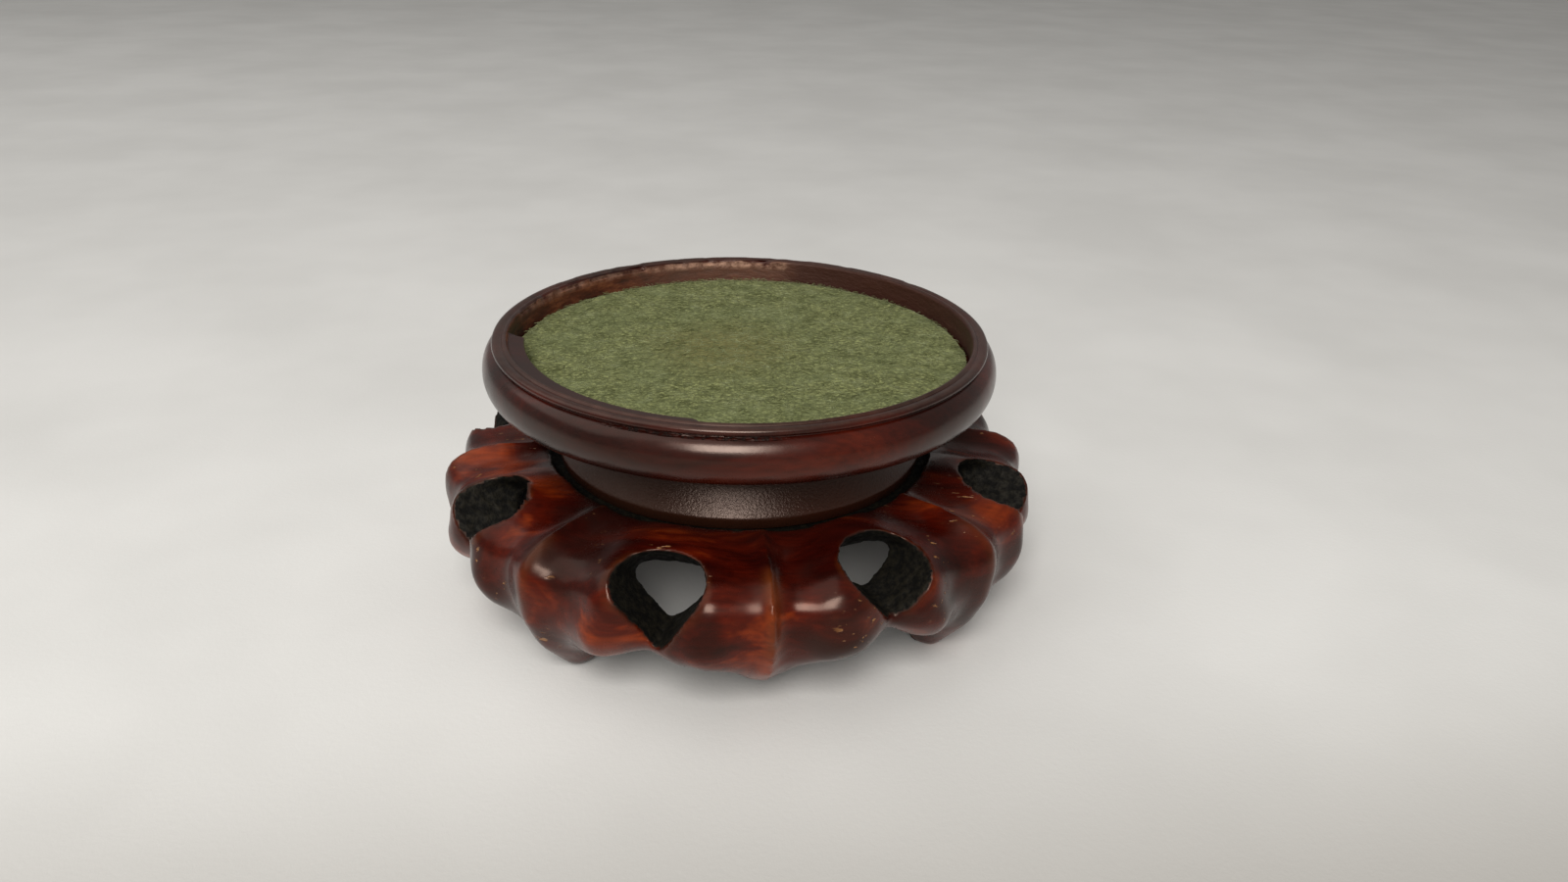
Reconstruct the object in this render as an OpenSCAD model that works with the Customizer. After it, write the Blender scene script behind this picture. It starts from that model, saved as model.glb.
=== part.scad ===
// Round hardwood display stand: a turned, felt-lined dish on a neck, seated in
// a hollow base that is carved into ribbed legs with a pierced opening between
// each pair. The origin is on the floor, on the turning axis, with +Z up and
// one leg facing -Y.

/* [Overall] */
// Height of the dish's lip above the floor
stand_h = 51.5; // [50:0.5:56]
// Number of legs, and of openings between them
leg_count = 8; // [7:1:10]

/* [Base outline] */
// Height of the base's top above the floor
base_h = 29.4; // [28.4:0.1:30.6]
// Radius of the base at its widest
belly_r = 58; // [57:0.2:61]
// Height of the widest place above the floor
belly_z = 21; // [20:0.25:22]
// Radius where the flat top starts to roll over into the shoulder
crown_r = 42.6; // [41.5:0.1:44]
// Dip of the top towards the neck
crown_dip = 0.8; // [0:0.1:1.2]
// Squareness of the shoulder, where 2 is an ellipse
shoulder_power = 2.4; // [2:0.1:3]
// Radius of a leg's outer face at the floor
foot_r = 47.4; // [46:0.2:50]
// How late a leg turns in towards its foot
belly_power = 2.3; // [1.8:0.1:3]

/* [Base inside] */
// Thickness of the apron at the belly
wall_t = 13; // [10:0.25:14]
// Thickness of the top above the hollow
crown_t = 5.5; // [5:0.25:6.5]
// Depth of a foot from its outer face to the hollow
foot_t = 4.6; // [3.5:0.1:6]

/* [Leg carving] */
// Depth of the flute on each side of a rib
flute_d = 2.8; // [1:0.1:3.2]
// Width of a flute at the belly, from the rib to the cheek
flute_w = 15; // [9:0.5:17]
// Width of a flute at the floor
flute_foot_w = 8; // [6:0.5:11]
// Width of the front leg's flutes, from the belly down
front_flute_w = 9.5; // [7:0.5:11]
// Width of a flute where it starts, beside the neck
flute_top_w = 13.5; // [10:0.5:14.5]
// Share of a flute's depth that is left at the floor
flute_foot = 0.6; // [0.2:0.05:1]
// Share of a flute's depth on the left of the front leg
front_flute = 0.55; // [0:0.05:1]
// Depth of the crease where two cheeks meet under an opening
crease_d = 3; // [1:0.25:4]
// Width of a cheek's roll into the crease
crease_w = 11; // [7:0.5:13]
// Width of a foot where it touches the floor
foot_w = 4.5; // [3:0.25:5]
// Length over which a foot sweeps up to the apron
foot_sweep = 6.5; // [3:0.25:8]
// Length over which the front leg's worn foot does
front_sweep = 3; // [2:0.25:4]
// How far the front leg's worn foot stands off the floor
front_wear = 3; // [0:0.2:4]
// How much further in that leg's foot turns
front_tuck = 3.5; // [0:0.25:4]
// How far the apron rolls under at its lower edge
apron_roll = 2.6; // [0:0.2:3]
// Height of the apron's lower edge beside a foot
apron_z = 11.2; // [9:0.2:12]
// Height of the apron's lower edge at the crease
arch_z = 14.2; // [13:0.1:15]

/* [Openings between the legs] */
// Width of an opening
hole_w = 15.6; // [12:0.2:16.4]
// Radius of an opening's upper edge on the top of the base
hole_top_r = 43.75; // [43:0.25:45]
// Height of an opening's lower point above the floor
hole_tip_z = 17.6; // [17:0.1:18.6]
// How much lower the upper edge is at the opening left of the front leg
low_top_drop = 2; // [0:0.25:3]
// How much lower that opening's point is, and the apron below it
low_tip_drop = 3.4; // [0:0.2:5]
// How many degrees nearer the front leg that opening is
low_shift = 2.5; // [0:0.25:3]
// Slope at which an opening is pierced at its upper edge
pierce_a = 54; // [44:1:60]
// Size of an opening's inner end, as a share of its outer end
hole_taper = 0.86; // [0.76:0.02:1]
// Rounding of an opening's edge
hole_edge = 0.6; // [0.2:0.1:1]

/* [Socket in the base] */
// Radius of the round socket that the neck sits down into
socket_r = 37; // [36.5:0.1:38]
// Depth of the socket below the top of the base
socket_d = 2.2; // [1.6:0.1:2.8]
// Radius of the hole through the socket's floor
bore_r = 23.5; // [20:0.5:25]

/* [Turned dish] */
// Radius of the lip's outer edge
lip_r = 46.5; // [46:0.25:48]
// Radius of the recess inside the lip
recess_r = 43.6; // [42:0.1:44.2]
// Depth of the recess below the lip
recess_d = 5.6; // [4.5:0.1:7]
// Height of the lip above the groove under it
lip_h = 1.5; // [1.2:0.1:2.2]
// Rounding of the lip's outer corner
lip_round = 0.7; // [0.3:0.1:1]
// How far the groove under the lip is cut in
quirk_d = 0.6; // [0.3:0.1:1]
// Radius of the rolled rim at its widest
rim_r = 48.4; // [47.5:0.1:50]
// Overhang of the rolled rim from the middle of its roll
rim_roll = 3.1; // [2.5:0.1:4]
// Height of the rolled rim from its middle to its underside
rim_half_h = 4.3; // [3.5:0.1:5]
// Radius of the cove between the rim's underside and the neck
cove_r = 4.4; // [3:0.2:6]
// Radius of the neck at its narrowest
neck_r = 32; // [31:0.25:33]
// Radius of the neck's flared foot
neck_foot_r = 35.3; // [34.5:0.1:36]
// How late the neck flares towards its foot
neck_power = 2.2; // [1.5:0.1:3]

/* [Ledge left in the recess] */
// Width of the inner ledge
ledge_w = 3; // [2:0.25:4.5]
// Drop from the lip to the inner ledge
ledge_drop = 1.4; // [0.8:0.1:2]
// Direction where the ledge starts, in degrees round from -Y
ledge_from = -92; // [-120:1:-70]
// Direction where the ledge ends
ledge_to = -12; // [-40:1:20]

/* [Felt lining] */
// Thickness of the felt
felt_t = 1.2; // [0.8:0.1:2]
// Gap between the felt's edge and the wood
felt_gap = 0.3; // [0.1:0.1:1]

/* [Pegs] */
// Number of bamboo pegs that pin the dish to the base
peg_count = 4; // [3:1:6]
// Diameter of a peg
peg_d = 3; // [2:0.25:3.5]
// Radius of the circle that the pegs stand on
peg_circle_r = 27.8; // [27.2:0.1:28.4]
// How far a peg goes up into the dish
peg_grip = 6; // [4:0.5:7]

/* [Fits] */
// Clearance round the spigot in the socket's hole
spigot_fit = 0.15; // [0.05:0.05:0.4]

/* [Hidden] */
$fn = 128;

ledge_z = base_h - socket_d;
ceiling_z = base_h - crown_t;
recess_z = stand_h - recess_d;
felt_z = recess_z + felt_t;
quirk_z = stand_h - lip_h;
rim_z = quirk_z - rim_half_h;
rim_under_z = rim_z - rim_half_h;
spigot_r = bore_r - spigot_fit;
inner_r = recess_r - ledge_w;
// How far a cut runs past the face that it breaks through
overlap = 0.5;

// Carved base
// Each skin of the base is a list: radius and height of the middle of the top,
// radius where the shoulder starts, radius and height of the belly, foot radius.
cap_inset = 2.2;
hollow_inset = 2;
hollow_drop = 3.5;
cap_r = socket_r - cap_inset;
outer_skin = [cap_r, base_h, crown_r, belly_r, belly_z, foot_r];
inner_skin = [cap_r, ceiling_z, crown_r - hollow_inset,
              belly_r - wall_t, belly_z - hollow_drop, foot_r - foot_t];

// The surface between two ribs is a net of rings round one opening. These are
// the steps of the net along half of the apron's edge, up a rib and along the top.
edge_steps = 7;
rib_steps = 12;
top_steps = 12;
net_n = 2 * edge_steps + 2 * rib_steps + top_steps;
// Where the rings of each skin lie, from the opening's edge (0) to the ribs (1)
outer_rings = [0, 0.1, 0.25, 0.42, 0.58, 0.72, 0.84, 0.93, 1];
inner_rings = [0, 0.5, 1];
half_a = 180 / leg_count;
// Share of the net above the belly
belly_v = 0.73;
sample = 0.05;

function mix(a, b, f) = a + (b - a) * f;
function ramp(x, low, high) = min(1, max(0, (x - low) / (high - low)));
function arc_mm(r, a) = r * a * PI / 180;
function around(r, a, z) = [r * sin(a), -r * cos(a), z];

// Length of a skin's flat top, and of its shoulder down to the belly
function flat_l(k) = k[2] - k[0];
function shoulder_l(k) = PI / 2 * sqrt((pow(k[3] - k[2], 2) + pow(k[1] - k[4], 2)) / 2);
function to_belly(k) = flat_l(k) + shoulder_l(k);

// Radius and height of a skin's plain section, s millimetres out from its cap
function section(s, k) =
    s < flat_l(k) ? [k[0] + s, k[1]]
    : s < to_belly(k)
        ? let (b = 90 * (1 - (s - flat_l(k)) / shoulder_l(k)))
          [mix(k[2], k[3], pow(cos(b), 2 / shoulder_power)),
           mix(k[4], k[1], pow(sin(b), 2 / shoulder_power))]
        : let (drop = s - to_belly(k))
          [k[3] - (k[3] - k[5]) * pow(drop / k[4], belly_power), k[4] - drop];

// Distance along the section at a radius on the top, and at a height on the side
function s_at_r(r, k) =
    r < k[2] ? r - k[0]
    : to_belly(k) - shoulder_l(k) * acos(pow((r - k[2]) / (k[3] - k[2]), shoulder_power / 2)) / 90;
function s_at_z(z, k) =
    z < k[4] ? to_belly(k) + k[4] - z
    : to_belly(k) - shoulder_l(k) * asin(pow((z - k[4]) / (k[1] - k[4]), shoulder_power / 2)) / 90;

// Whether the opening in direction d is the low one, left of the front leg
function is_low(d) = abs(d + half_a - 360) < half_a;

// Height of the apron's lower edge, a degrees from the opening in direction d.
// The leg that faces -Y is worn short, to a blunt point.
arch_power = 4;
wear_w = 9;
wear_rise = 0.3;
function edge_z(a, d) =
    let (from_rib = arc_mm(foot_r, half_a - abs(a)),
         from_front = arc_mm(foot_r, acos(cos(a + d))),
         sweep_l = mix(front_sweep, foot_sweep, ramp(from_front, wear_w, 2 * wear_w)),
         sweep = apron_z * (1 - exp((foot_w / 2 - from_rib) / sweep_l)),
         top = arch_z - (is_low(d) ? low_tip_drop : 0),
         arch = (top - apron_z) * pow(1 - abs(a) / half_a, arch_power),
         worn = front_wear + wear_rise * from_front)
    max(sweep + arch, from_front < wear_w ? worn : 0);

// Depth of carving at s along the section: the dip round the neck, the flutes
// beside each rib, the crease below each opening, the opening's rounded edge, the
// apron's roll and the tuck of the front foot
flute_lean = 0.62;
leg_lean = 1.25;
crease_power = 2.5;
tuck_w = 16;
roll_w = 8;
function carving(a, d, s, f, k) =
    let (r = section(s, k)[0],
         from_rib = arc_mm(r, half_a - abs(a)),
         from_middle = arc_mm(r, abs(a)),
         from_front = arc_mm(foot_r, acos(cos(a + d))),
         low = ramp(s, to_belly(k), to_belly(k) + k[4]),
         front = acos(cos(a + d)) < half_a,
         belly_w = front ? front_flute_w : flute_w,
         wide = s < to_belly(k) ? mix(flute_top_w, belly_w, ramp(s, 0, to_belly(k)))
                : mix(belly_w, front ? front_flute_w : flute_foot_w, low),
         lean = front ? flute_lean : mix(flute_lean, leg_lean, ramp(s, flat_l(k), to_belly(k))),
         beside_front = sin(a + d) < 0 ? ramp(tuck_w - from_front, 0, tuck_w / 2) : 0,
         deep = flute_d * mix(1, flute_foot, low) * mix(1, front_flute, beside_front),
         flute = deep * ramp(s, 0, flat_l(k)) * sin(180 * pow(min(1, from_rib / wide), lean)),
         crease = crease_d * ramp(s, flat_l(k) + shoulder_l(k) / 2, to_belly(k))
                  * pow(max(0, 1 - from_middle / crease_w), crease_power),
         dip = crown_dip * pow(1 - ramp(s, 0, flat_l(k)), 2),
         edge = hole_edge * pow(1 - ramp(f, 0, outer_rings[1]), 2),
         from_edge = to_belly(k) + k[4] - edge_z(a, d) - s,
         roll = apron_roll * ramp(from_rib, foot_w / 2, roll_w) * pow(max(0, 1 - from_edge / roll_w), 2),
         tuck = front_tuck * pow(low * max(0, 1 - from_front / tuck_w), 2))
    flute + crease + dip + edge + roll + tuck;

// Place on a skin, from the angle a off the opening in direction d, the height
// share v and the ring share f
function place(a, d, v, f, k, carved) =
    let (low = to_belly(k) + k[4] - edge_z(a, d),
         s = v < belly_v ? to_belly(k) * v / belly_v
             : mix(to_belly(k), low, (v - belly_v) / (1 - belly_v)),
         p = section(s, k),
         t = section(s + sample, k) - section(max(0, s - sample), k),
         out = [-t[1], t[0]] / norm(t))
    p - out * (carved ? carving(a, d, s, f, k) : 0);

// Height share of a distance along the section, on the middle of an opening
function share(s, k, d) =
    s < to_belly(k) ? belly_v * s / to_belly(k)
    : mix(belly_v, 1, (s - to_belly(k)) / (k[4] - edge_z(0, d)));

// Top and tip of the opening in direction d on a skin, as height shares, its shift
// and its width, where size is 1 at its outer end
function hole_span(k, top_r, d, size) =
    let (top = s_at_r(top_r, k) + (is_low(d) ? low_top_drop : 0),
         tip = s_at_z(hole_tip_z, k) + (is_low(d) ? low_tip_drop : 0))
    [share(top, k, d), share(mix(top, tip, size), k, d), is_low(d) ? low_shift : 0, hole_w * size];

// Edge of an opening: a teardrop, round above and pointed below, as [a, v]
tear_widest = 0.77;
function hole_edge_at(turn, k, span) =
    let (v = mix(span[0], span[1], (1 + cos(turn)) / 2),
         r = section(min(v / belly_v, 1) * to_belly(k), k)[0],
         x = span[3] / 2 * sin(turn) * sin(turn / 2) / tear_widest)
    [x / r * 180 / PI + span[2], v];

// Edge of the net: half the apron's edge, up a rib, along the top and back
edge_crowd = 1.7;
function net_edge_at(i) =
    i <= edge_steps ? [half_a * (1 - pow(1 - i / edge_steps, edge_crowd)), 1]
    : i <= edge_steps + rib_steps ? [half_a, 1 - (i - edge_steps) / rib_steps]
    : [half_a * (1 - 2 * (i - edge_steps - rib_steps) / top_steps), 0];
function net_edge(i) =
    i <= net_n / 2 ? net_edge_at(i)
    : let (p = net_edge_at(net_n - i)) [-p[0], p[1]];

// Turn round the opening that each step of the net's edge looks towards
low_turn = 50;
high_turn = 140;
function turn_at(i) =
    i <= edge_steps ? low_turn * i / edge_steps
    : i <= edge_steps + rib_steps ? mix(low_turn, high_turn, (i - edge_steps) / rib_steps)
    : mix(high_turn, 180, (i - edge_steps - rib_steps) / (top_steps / 2));
function turn(i) = i <= net_n / 2 ? turn_at(i) : 360 - turn_at(net_n - i);

function skin_points(k, top_r, rings, carved) =
    [for (leg = [0 : leg_count - 1])
        let (d = (2 * leg + 1) * half_a,
             span = hole_span(k, top_r, d, carved ? 1 : hole_taper))
        for (f = rings)
            for (i = [0 : net_n - 1])
                let (q = mix(hole_edge_at(turn(i), k, span), net_edge(i), f),
                     p = place(q[0], d, q[1], f, k, carved))
                around(p[0], q[0] + d, p[1])];

// Number of a point in its skin. Neighbouring nets share the points of a rib.
rib_low = net_n - edge_steps - rib_steps;
rib_high = net_n - edge_steps;
function at(leg, j, step, rings) =
    let (last = len(rings) - 1,
         i = step % net_n,
         shared = j == last && i >= rib_low && i <= rib_high,
         owner = shared ? (leg + leg_count - 1) % leg_count : leg)
    (owner * len(rings) + j) * net_n + (shared ? net_n - i : i);

module carved_shell() {
    inner_top_r = hole_top_r - crown_t / tan(pierce_a);
    outside = skin_points(outer_skin, hole_top_r, outer_rings, true);
    inside = skin_points(inner_skin, inner_top_r, inner_rings, false);
    shift = len(outside);
    outer_last = len(outer_rings) - 1;
    inner_last = len(inner_rings) - 1;
    legs = [0 : leg_count - 1];
    steps = [0 : net_n - 1];
    function outer(leg, j, i) = at(leg, j, i, outer_rings);
    function inner(leg, j, i) = shift + at(leg, j, i, inner_rings);
    outer_faces = [for (leg = legs, j = [0 : outer_last - 1], i = steps)
        [outer(leg, j, i), outer(leg, j, i + 1), outer(leg, j + 1, i + 1), outer(leg, j + 1, i)]];
    inner_faces = [for (leg = legs, j = [0 : inner_last - 1], i = steps)
        [inner(leg, j + 1, i), inner(leg, j + 1, i + 1), inner(leg, j, i + 1), inner(leg, j, i)]];
    hole_walls = [for (leg = legs, i = steps)
        [outer(leg, 0, i + 1), outer(leg, 0, i), inner(leg, 0, i), inner(leg, 0, i + 1)]];
    apron_edge = [for (leg = legs, n = [-edge_steps : edge_steps - 1])
        let (i = (n + net_n) % net_n)
        [outer(leg, outer_last, i), outer(leg, outer_last, i + 1),
         inner(leg, inner_last, i + 1), inner(leg, inner_last, i)]];
    top_first = edge_steps + rib_steps;
    top_row = [top_first : top_first + top_steps - 1];
    top_cap = [for (leg = [leg_count - 1 : -1 : 0], i = top_row) outer(leg, outer_last, i)];
    ceiling = [for (leg = legs, n = [top_steps : -1 : 1]) inner(leg, inner_last, top_first + n)];
    polyhedron(
        concat(outside, inside),
        concat(outer_faces, inner_faces, hole_walls, apron_edge, [top_cap, ceiling]),
        convexity = 10);
}

module peg_ring(r, low, high) {
    for (n = [0 : peg_count - 1])
        rotate([0, 0, (n + 0.5) * 360 / peg_count])
            translate([peg_circle_r, 0, low])
                cylinder(r = r, h = high - low, $fn = 32);
}

module carved_base() {
    color("sienna")
        difference() {
            carved_shell();
            translate([0, 0, ledge_z]) cylinder(r = socket_r, h = socket_d + overlap);
            translate([0, 0, ceiling_z - overlap]) cylinder(r = bore_r, h = crown_t);
            peg_ring(peg_d / 2, ceiling_z - overlap, ledge_z + overlap);
        }
}

// Turned dish: half of its section, from the axis round the outside and back
roll_from = 70;
roll_step = 10;
cove_step = 15;
flare_steps = 8;
neck_top_z = rim_under_z - cove_r;
function rim_curve() =
    [for (b = [roll_from : -roll_step : -90])
        [rim_r - rim_roll + rim_roll * cos(b), rim_z + rim_half_h * sin(b)]];
function cove_curve() =
    [for (b = [90 : cove_step : 180])
        [neck_r + cove_r + cove_r * cos(b), neck_top_z + cove_r * sin(b)]];
function flare_curve() =
    [for (n = [1 : flare_steps])
        let (f = n / flare_steps)
        [mix(neck_r, neck_foot_r, pow(f, neck_power)), mix(neck_top_z, base_h, f)]];

module dish_section() {
    polygon(concat(
        [[0, recess_z], [recess_r, recess_z], [recess_r, stand_h],
         [lip_r - lip_round, stand_h], [lip_r, stand_h - lip_round],
         [lip_r - quirk_d, quirk_z]],
        rim_curve(), cove_curve(), flare_curve(),
        [[neck_foot_r, ledge_z], [spigot_r, ledge_z], [spigot_r, ceiling_z], [0, ceiling_z]]));
}

module ledge_arc(from_r, to_r, low, high) {
    rotate([0, 0, ledge_from - 90])
        rotate_extrude(angle = ledge_to - ledge_from)
            translate([from_r, low]) square([to_r - from_r, high - low]);
}

module turned_dish() {
    color("saddlebrown")
        difference() {
            union() {
                rotate_extrude() dish_section();
                ledge_arc(inner_r, recess_r + overlap, recess_z - overlap, stand_h - ledge_drop);
            }
            peg_ring(peg_d / 2, ceiling_z, ledge_z + peg_grip);
        }
}

module felt_lining() {
    color("olivedrab")
        difference() {
            translate([0, 0, recess_z]) cylinder(r = recess_r - felt_gap, h = felt_t);
            ledge_arc(inner_r - felt_gap, recess_r, recess_z - overlap, felt_z + overlap);
        }
}

module bamboo_pegs() {
    color("tan") peg_ring(peg_d / 2, ceiling_z, ledge_z + peg_grip);
}

carved_base();
turned_dish();
felt_lining();
bamboo_pegs();
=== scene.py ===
import bpy
import math
import numpy as np
from mathutils import Matrix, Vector
from mathutils.bvhtree import BVHTree


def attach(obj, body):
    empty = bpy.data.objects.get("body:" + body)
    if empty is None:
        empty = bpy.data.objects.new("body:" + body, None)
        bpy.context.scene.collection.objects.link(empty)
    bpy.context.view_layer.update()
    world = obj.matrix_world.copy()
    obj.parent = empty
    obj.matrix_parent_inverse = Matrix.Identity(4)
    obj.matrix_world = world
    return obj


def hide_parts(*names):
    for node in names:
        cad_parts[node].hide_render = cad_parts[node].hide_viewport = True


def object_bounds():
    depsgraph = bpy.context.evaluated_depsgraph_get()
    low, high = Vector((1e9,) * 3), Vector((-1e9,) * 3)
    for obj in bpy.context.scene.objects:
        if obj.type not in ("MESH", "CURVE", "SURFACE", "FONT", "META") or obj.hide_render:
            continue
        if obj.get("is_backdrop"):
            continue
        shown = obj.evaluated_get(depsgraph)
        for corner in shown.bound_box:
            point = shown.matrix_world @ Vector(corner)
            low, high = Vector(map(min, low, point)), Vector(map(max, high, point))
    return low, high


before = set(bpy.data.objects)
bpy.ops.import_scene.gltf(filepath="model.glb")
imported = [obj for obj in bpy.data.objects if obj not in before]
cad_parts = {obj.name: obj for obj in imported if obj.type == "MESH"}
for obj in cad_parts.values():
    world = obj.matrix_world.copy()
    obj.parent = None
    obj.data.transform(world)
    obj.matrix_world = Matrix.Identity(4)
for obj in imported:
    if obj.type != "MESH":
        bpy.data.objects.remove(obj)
cad_low, cad_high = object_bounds()

# Carved base: one block of dense hardwood, turned to a round, hollowed from below and
# carved by hand into ribbed legs, with an opening pierced between each pair of legs.
# It is lacquered red-brown outside, and its openings and hollow are left rough and black.
MM = 0.001
VOXEL = 0.62 * MM
GRAIN_TURN = math.radians(-8)


def pick_up(piece):
    """Selects one piece and nothing else."""
    bpy.ops.object.select_all(action="DESELECT")
    piece.select_set(True)
    bpy.context.view_layer.objects.active = piece


def work(piece, kind, **settings):
    """Adds a modifier to a piece and applies it."""
    pick_up(piece)
    step = piece.modifiers.new(kind.lower(), kind)
    for setting, value in settings.items():
        setattr(step, setting, value)
    bpy.ops.object.modifier_apply(modifier=step.name)


def clouds(name, size, depth=2):
    """A cloud pattern for a Displace modifier, with its lumps at that size."""
    pattern = bpy.data.textures.new(name, "CLOUDS")
    pattern.noise_scale = size
    pattern.noise_depth = depth
    return pattern


def points_of(mesh, what="co"):
    """The places or the normals of a mesh's points, one row each."""
    rows = np.empty(len(mesh.vertices) * 3, np.float32)
    mesh.vertices.foreach_get(what, rows)
    return rows.reshape(-1, 3)


def put_points(mesh, places):
    """Moves a mesh's points to these places."""
    mesh.vertices.foreach_set("co", places.astype(np.float32).ravel())
    mesh.update()


def averaged(mesh, values, passes):
    """Values at a mesh's points, evened out with those of their neighbours."""
    ends = np.empty(len(mesh.edges) * 2, np.int32)
    mesh.edges.foreach_get("vertices", ends)
    first, last = ends[0::2], ends[1::2]
    count = len(mesh.vertices)
    share = np.bincount(first, minlength=count) + np.bincount(last, minlength=count)
    for _ in range(passes):
        columns = []
        for column in values.T:
            total = np.bincount(first, column[last], count) + np.bincount(last, column[first], count)
            columns.append((column + total / np.maximum(share, 1)) / 2)
        values = np.stack(columns, axis=1)
    return values


def keep_values(mesh, name, values):
    """Keeps one number for each point, for a material to read."""
    kept = mesh.attributes.new(name, "FLOAT", "POINT")
    kept.data.foreach_set("value", values.astype(np.float32))


def step_between(values, low, high):
    """0 below low, 1 above high, and a soft step between."""
    share = np.clip((values - low) / (high - low), 0, 1)
    return share * share * (3 - 2 * share)


base_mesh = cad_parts["carved_base"].data.copy()
base_mesh.name = "base_carving"
base_mesh.materials.clear()
base = bpy.data.objects.new("base_carving", base_mesh)
bpy.context.collection.objects.link(base)
pick_up(base)
bpy.ops.mesh.customdata_custom_splitnormals_clear()
bpy.ops.object.mode_set(mode="EDIT")
bpy.ops.mesh.select_all(action="SELECT")
bpy.ops.mesh.remove_doubles(threshold=0.01 * MM)
bpy.ops.mesh.select_mode(type="FACE")
bpy.ops.mesh.select_all(action="DESELECT")
bpy.ops.object.mode_set(mode="OBJECT")
# The lacquered outside is all that can be reached from the legs' faces without crossing
# a sharp edge. The walls of the openings, the hollow and the socket can't.
LEG_FACE_R, LEG_FACE_LOW, LEG_FACE_HIGH = 50, 14, 27
FACES_OUT = 0.75
SHARP_EDGE = math.radians(28)
for face in base.data.polygons:
    x, y, z = face.center / MM
    radius = math.hypot(x, y)
    on_leg = radius > LEG_FACE_R and LEG_FACE_LOW < z < LEG_FACE_HIGH
    face.select = on_leg and (face.normal.x * x + face.normal.y * y) / radius > FACES_OUT
bpy.ops.object.mode_set(mode="EDIT")
bpy.ops.mesh.faces_select_linked_flat(sharpness=SHARP_EDGE)
bpy.ops.object.mode_set(mode="OBJECT")
outer_faces = [face.select for face in base.data.polygons]
first_skin = BVHTree.FromPolygons([point.co for point in base.data.vertices],
                                  [tuple(face.vertices) for face in base.data.polygons])
work(base, "REMESH", mode="VOXEL", voxel_size=VOXEL, use_smooth_shade=True)
work(base, "SMOOTH", factor=0.5, iterations=7)
# The carver's knife leaves all faces a little uneven.
work(base, "DISPLACE", texture=clouds("knife_work", 13 * MM), texture_coords="LOCAL",
     strength=0.35 * MM, mid_level=0.7)

# Handling has rounded the ribs, and rubbed them at the shoulders, most of all in front.
LEG_STEP = 45
RIB_HALF, RIB_RUBBED = 3.0, 1.3
SOCKET_EDGE_R = 40
FRONT_LEG_HALF = 9
FRONT_WEAR, OTHER_WEAR = 0.85, 0.35


def round_axis(places):
    """Distances of points from the axis, and their angles from the front, in degrees."""
    return np.hypot(places[:, 0], places[:, 1]), np.degrees(np.arctan2(places[:, 0], -places[:, 1]))


def from_rib(radius, angle):
    """How far points are from the nearest rib, along the round."""
    return np.radians(np.abs(np.mod(angle + LEG_STEP / 2, LEG_STEP) - LEG_STEP / 2)) * radius


def weigh(piece, name, weights, least=0.02):
    """Gives points their weights in a new group, for a modifier to follow."""
    group = piece.vertex_groups.new(name=name)
    for point in np.flatnonzero(weights > least):
        group.add([int(point)], float(weights[point]), "REPLACE")


places = points_of(base.data) / MM
radius, angle = round_axis(places)
off_rib = from_rib(radius, angle)
weigh(base, "ribs", 1.0 * ((off_rib < RIB_HALF) & (radius > SOCKET_EDGE_R)))
work(base, "SMOOTH", factor=0.5, iterations=22, vertex_group="ribs")
worn_ribs = np.exp(-(off_rib / RIB_RUBBED) ** 2)
worn_ribs = worn_ribs * step_between(places[:, 2], 11, 18) * step_between(radius, 48, 53)
at_front = (np.abs(places[:, 0]) < FRONT_LEG_HALF) & (places[:, 1] < 0)
worn_ribs *= np.where(at_front, FRONT_WEAR, OTHER_WEAR)

# The relief is how far a point stands out from the wood round it, in millimetres, and
# the inside is 1 on the walls of the openings and of the hollow, and 0 on the outside.
# The feet are lacquered down to the floor, and a stray spot is no wall.
FOOT_HIGH = 13 * MM
STRAY_SPOT = 0.42


def outward(places, normals, radius):
    """Directions away from the axis, and how far the faces turn that way."""
    radial = places[:, :2] / np.maximum(radius, 1)[:, None]
    return radial, (normals[:, :2] * radial).sum(axis=1)


places, normals = points_of(base.data), points_of(base.data, "normal")
relief = ((places - averaged(base.data, places, 24)) * normals).sum(axis=1) / MM
inside = np.array([0.0 if outer_faces[first_skin.find_nearest(place)[2]] else 1.0 for place in places])
radius = round_axis(places)[0] / MM
_, faces_out = outward(places / MM, normals, radius)
on_foot = (places[:, 2] < FOOT_HIGH) * step_between(faces_out, 0.0, 0.15) * (radius > SOCKET_EDGE_R)
inside *= 1 - on_foot
inside[averaged(base.data, inside[:, None], 14)[:, 0] < STRAY_SPOT] = 0
inside = averaged(base.data, inside[:, None], 1)[:, 0]
keep_values(base.data, "relief", relief)
keep_values(base.data, "inside", inside)
keep_values(base.data, "worn_ribs", worn_ribs)
# The shoulders and cheeks are scraped round between the ribs, short of the openings' edges.
near_wall = averaged(base.data, inside[:, None], 5)[:, 0]
rounded = np.clip(1 - 3 * near_wall, 0, 1) * step_between(off_rib, 2.5, 6) * (radius > 38)
rounded *= step_between(places[:, 2] / MM, 4, 9)
weigh(base, "cheeks", rounded)
work(base, "SMOOTH", factor=0.5, iterations=90, vertex_group="cheeks")
work(base, "DISPLACE", texture=clouds("scraping", 7 * MM, 1), texture_coords="LOCAL",
     strength=0.5 * MM, mid_level=0.5, vertex_group="cheeks")
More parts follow.
